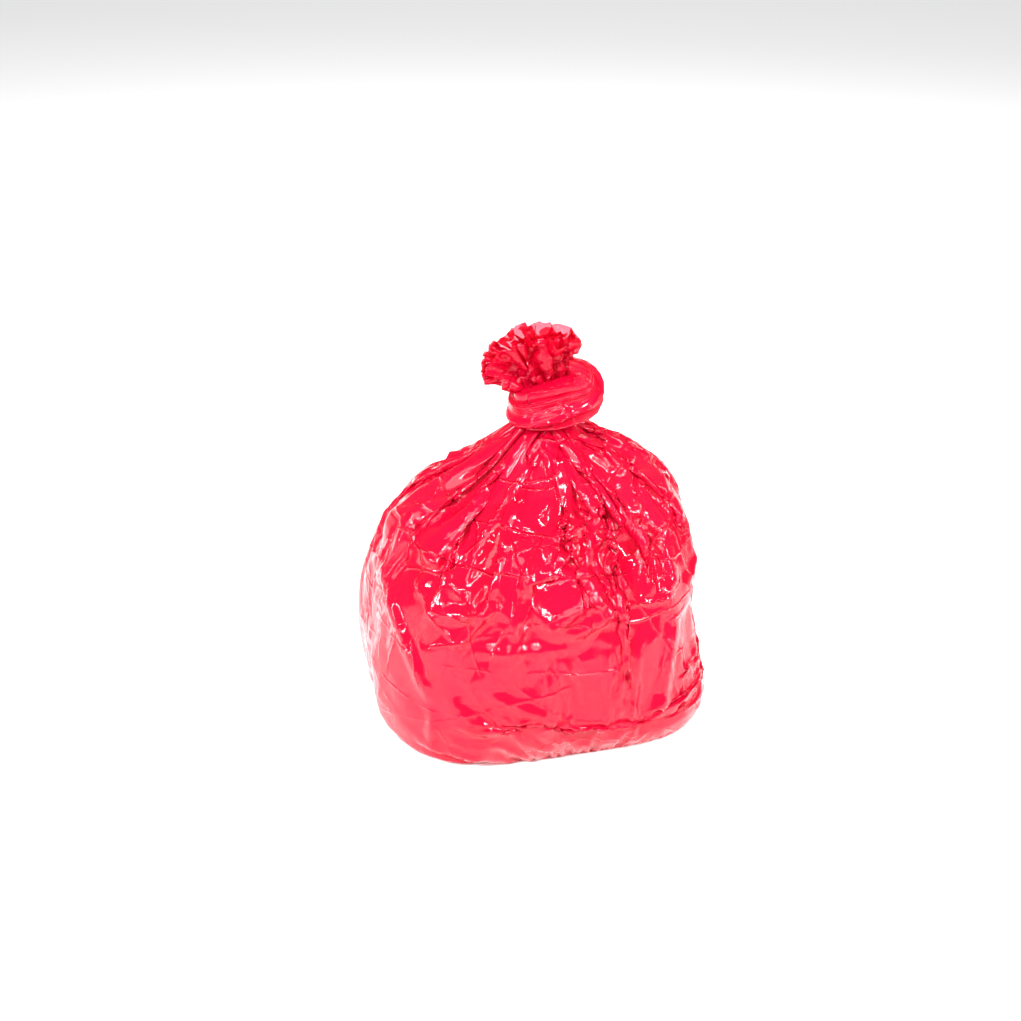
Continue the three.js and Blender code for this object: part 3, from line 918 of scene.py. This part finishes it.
class SACK_OT_carton(bpy.types.Operator):
    """Finish the carton inside the sack"""

    bl_idname = "sack.carton"
    bl_label = "Carton"

    def execute(self, context):
        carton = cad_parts["carton"]
        carton.data.materials.clear()
        carton.data.materials.append(board_finish(context.scene.sack_board))
        return {"FINISHED"}


def soft_light(name, place, target, width, height, power):
    light = bpy.data.lights.new(name, "AREA")
    light.shape = "RECTANGLE"
    light.size = width
    light.size_y = height
    light.energy = power
    lamp = bpy.data.objects.new(name, light)
    lamp.location = place
    lamp.rotation_euler = (Vector(target) - Vector(place)).to_track_quat("-Z", "Y").to_euler()
    bpy.context.scene.collection.objects.link(lamp)


class SACK_OT_studio(bpy.types.Operator):
    """Set the pale floor, the soft lights and the camera"""

    bl_idname = "sack.studio"
    bl_label = "Studio"

    def execute(self, context):
        look = context.scene.sack_studio
        scene = context.scene
        bpy.ops.object.select_all(action="DESELECT")
        bpy.ops.mesh.primitive_plane_add(size=FLOOR_SIZE, location=(0, 0, 0))
        floor = context.object
        floor.name = "floor"
        floor.data.materials.append(floor_finish(look))
        world = bpy.data.worlds.new("studio")
        world.use_nodes = True
        tree = world.node_tree
        background = tree.nodes["Background"]
        background.inputs["Color"].default_value = (1, 1, 1, 1)
        seen = tree.nodes.new("ShaderNodeMapRange")
        seen.inputs["To Min"].default_value = ROOM_LIGHT
        tree.links.new(tree.nodes.new("ShaderNodeLightPath").outputs["Is Camera Ray"], seen.inputs["Value"])
        tree.links.new(seen.outputs[0], background.inputs["Strength"])
        scene.world = world
        for name, place, width, height, power in SOFT_LIGHTS:
            soft_light(name, place, LIT_MIDDLE, width, height, power)
        daylight = bpy.data.lights.new("daylight", "SUN")
        daylight.energy = DAYLIGHT_POWER
        daylight.angle = DAYLIGHT_SPREAD
        lamp = bpy.data.objects.new("daylight", daylight)
        lamp.rotation_euler = Vector(DAYLIGHT_FROM).to_track_quat("Z", "Y").to_euler()
        scene.collection.objects.link(lamp)
        target = Vector(CAMERA_TARGET)
        back = Vector((0, -math.cos(look.elevation), math.sin(look.elevation)))
        camera = bpy.data.objects.new("camera", bpy.data.cameras.new("camera"))
        camera.location = target + back * look.distance
        camera.rotation_euler = (-back).to_track_quat("-Z", "Y").to_euler()
        camera.data.lens = look.lens
        scene.collection.objects.link(camera)
        scene.camera = camera
        scene.view_settings.view_transform = "Standard"
        return {"FINISHED"}


class SACK_PT_panel(bpy.types.Panel):
    bl_label = "Sack"
    bl_idname = "SACK_PT_panel"
    bl_space_type = "VIEW_3D"
    bl_region_type = "UI"
    bl_category = "Sack"

    def draw(self, context):
        for operator in ("sack.film", "sack.carton", "sack.studio"):
            self.layout.operator(operator)
        for group in ("sack_film", "sack_board", "sack_studio"):
            look = getattr(context.scene, group)
            for name in look.__annotations__:
                self.layout.prop(look, name)


CLASSES = (FilmLook, BoardLook, StudioLook, SACK_OT_film, SACK_OT_carton, SACK_OT_studio, SACK_PT_panel)


def register():
    for cls in CLASSES:
        bpy.utils.register_class(cls)
    bpy.types.Scene.sack_film = bpy.props.PointerProperty(type=FilmLook)
    bpy.types.Scene.sack_board = bpy.props.PointerProperty(type=BoardLook)
    bpy.types.Scene.sack_studio = bpy.props.PointerProperty(type=StudioLook)


def unregister():
    del bpy.types.Scene.sack_studio
    del bpy.types.Scene.sack_board
    del bpy.types.Scene.sack_film
    for cls in reversed(CLASSES):
        bpy.utils.unregister_class(cls)


def main():
    register()
    bpy.ops.sack.film()
    bpy.ops.sack.carton()
    bpy.ops.sack.studio()


if __name__ == "__main__":
    main()
